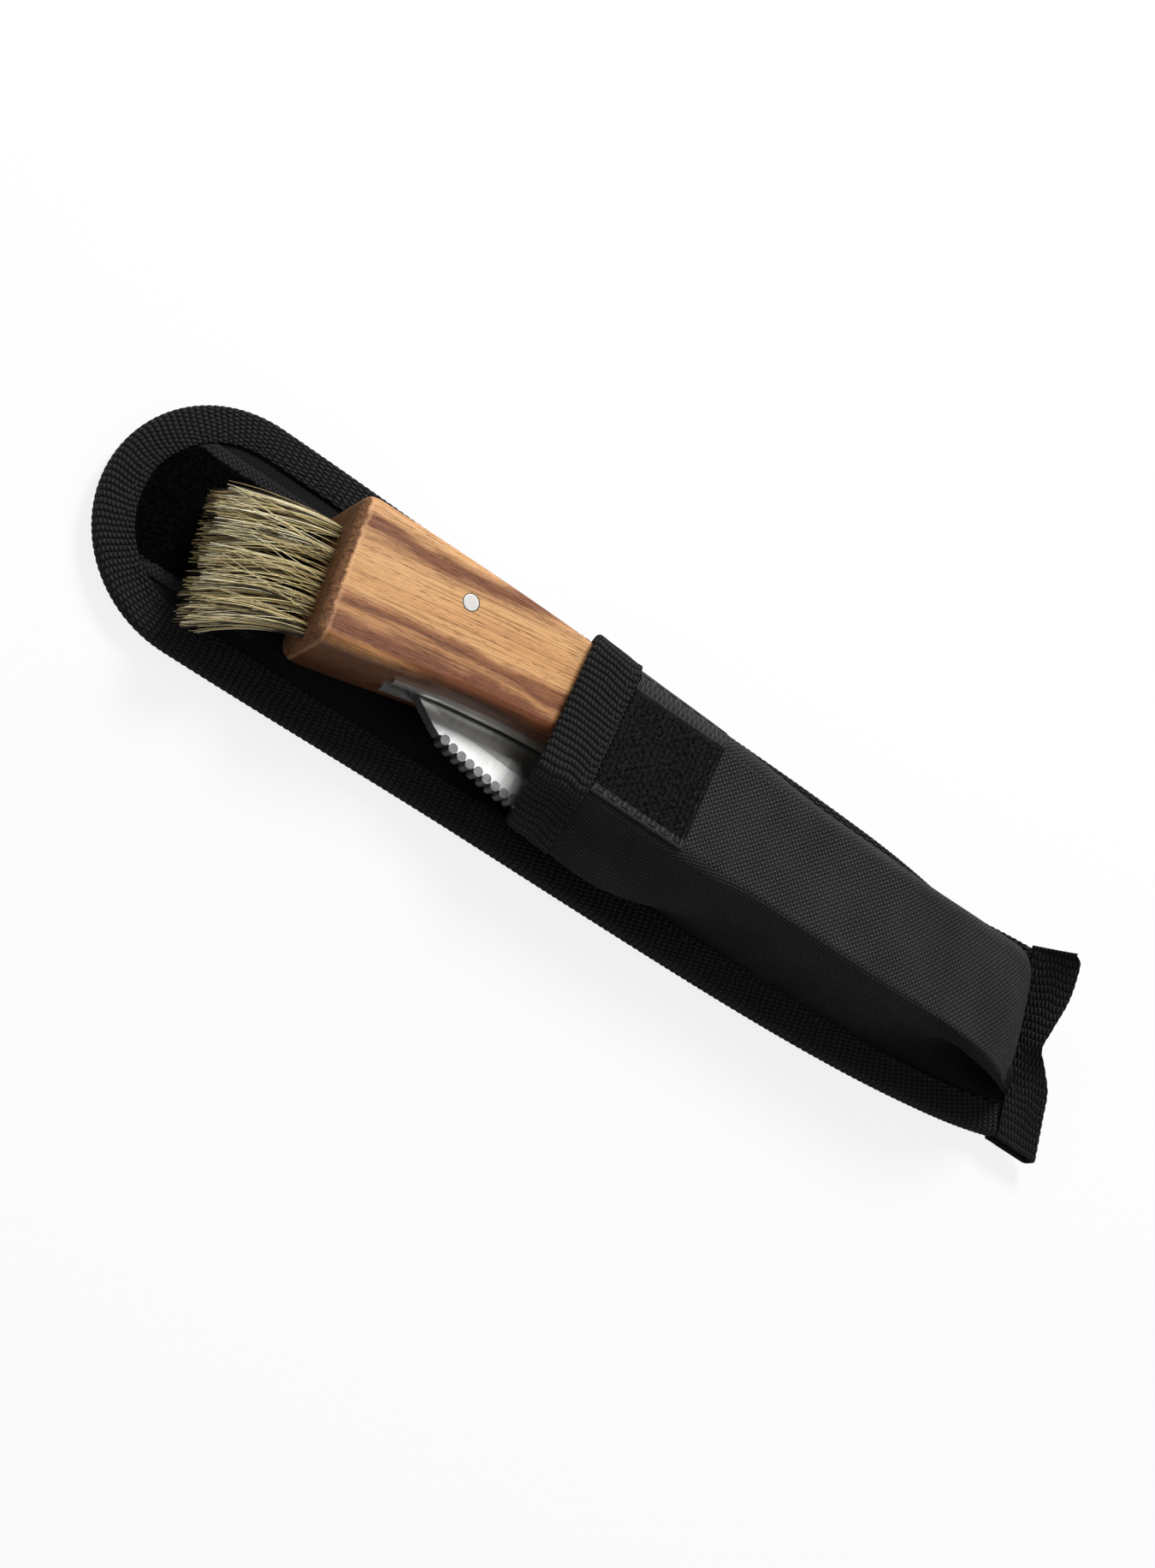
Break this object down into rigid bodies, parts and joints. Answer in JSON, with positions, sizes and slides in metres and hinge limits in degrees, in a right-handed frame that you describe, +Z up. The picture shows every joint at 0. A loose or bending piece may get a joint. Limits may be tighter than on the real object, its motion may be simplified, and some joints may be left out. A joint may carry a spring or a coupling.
{
  "type": "folding mushroom knife in a belt pouch",
  "caption": "Folding mushroom knife with a wooden handle, notched curved blade and end brush, half drawn from a fabric belt pouch with a flap.",
  "frame": {"origin": "centre of the bounding box, on the underside of the belt loop that it rests on", "axes": "+X from the flap to the pouch bottom, +Y towards the handle's back, +Z up out of the pouch front"},
  "size_m": [0.2074, 0.044, 0.0229],
  "materials": {
    "webbing": "ribbed black webbing",
    "woven_cloth": "coarse black weave",
    "gusset_cloth": "fine black weave",
    "binding_tape": "ribbed black tape",
    "hook_tape": "stiff black hooks",
    "loop_tape": "soft black pile",
    "striped_wood": "oiled, warm tan with dark stripes",
    "liner_steel": "satin",
    "washer_brass": "plain",
    "rivet_steel": "bright, flush",
    "blade_steel": "satin with a polished back",
    "bristle": "natural hair, blond with dark strands"
  },
  "bodies": {
    "pouch": {"belt_loop": "webbing", "back_panel": "woven_cloth", "left_edge_binding": "binding_tape", "right_edge_binding": "binding_tape", "bottom_binding": "binding_tape", "right_gusset": "gusset_cloth", "front_panel": "woven_cloth", "left_gusset": "gusset_cloth", "mouth_binding": "binding_tape", "hook_patch": "hook_tape", "loop_patch": "loop_tape"},
    "flap_end": {"flap_end_panel": "woven_cloth", "flap_end_binding": "binding_tape", "flap_end_loop_patch": "loop_tape"},
    "knife": {"handle_block": "striped_wood", "upper_liner": "liner_steel", "lower_liner": "liner_steel", "back_spring": "liner_steel", "upper_washer": "washer_brass", "lower_washer": "washer_brass", "rear_rivet": "rivet_steel", "middle_rivet": "rivet_steel", "pivot_pin": "rivet_steel", "upper_bristle_row": "bristle", "lower_bristle_row": "bristle"},
    "blade": {"blade": "blade_steel"}
  },
  "joints": [
    {"name": "knife_draw", "type": "slide", "parent": "pouch", "child": "knife", "axis": [-1, 0, 0], "range_m": [0, 0.32]},
    {"name": "blade_hinge", "type": "hinge", "parent": "knife", "child": "blade", "pos_m": [0.02374, 0.003, 0.01226], "axis": [0, 0, 1], "range_deg": [0, 180]},
    {"name": "flap_fold", "type": "hinge", "parent": "pouch", "child": "flap_end", "pos_m": [-0.08976, 0, 0.00396], "axis": [0, 1, 0], "range_deg": [0, 90]}
  ],
  "couplings": [
    {"joint": "blade_hinge", "follows": "knife_draw", "rad_per_m": 9.8174}
  ]
}
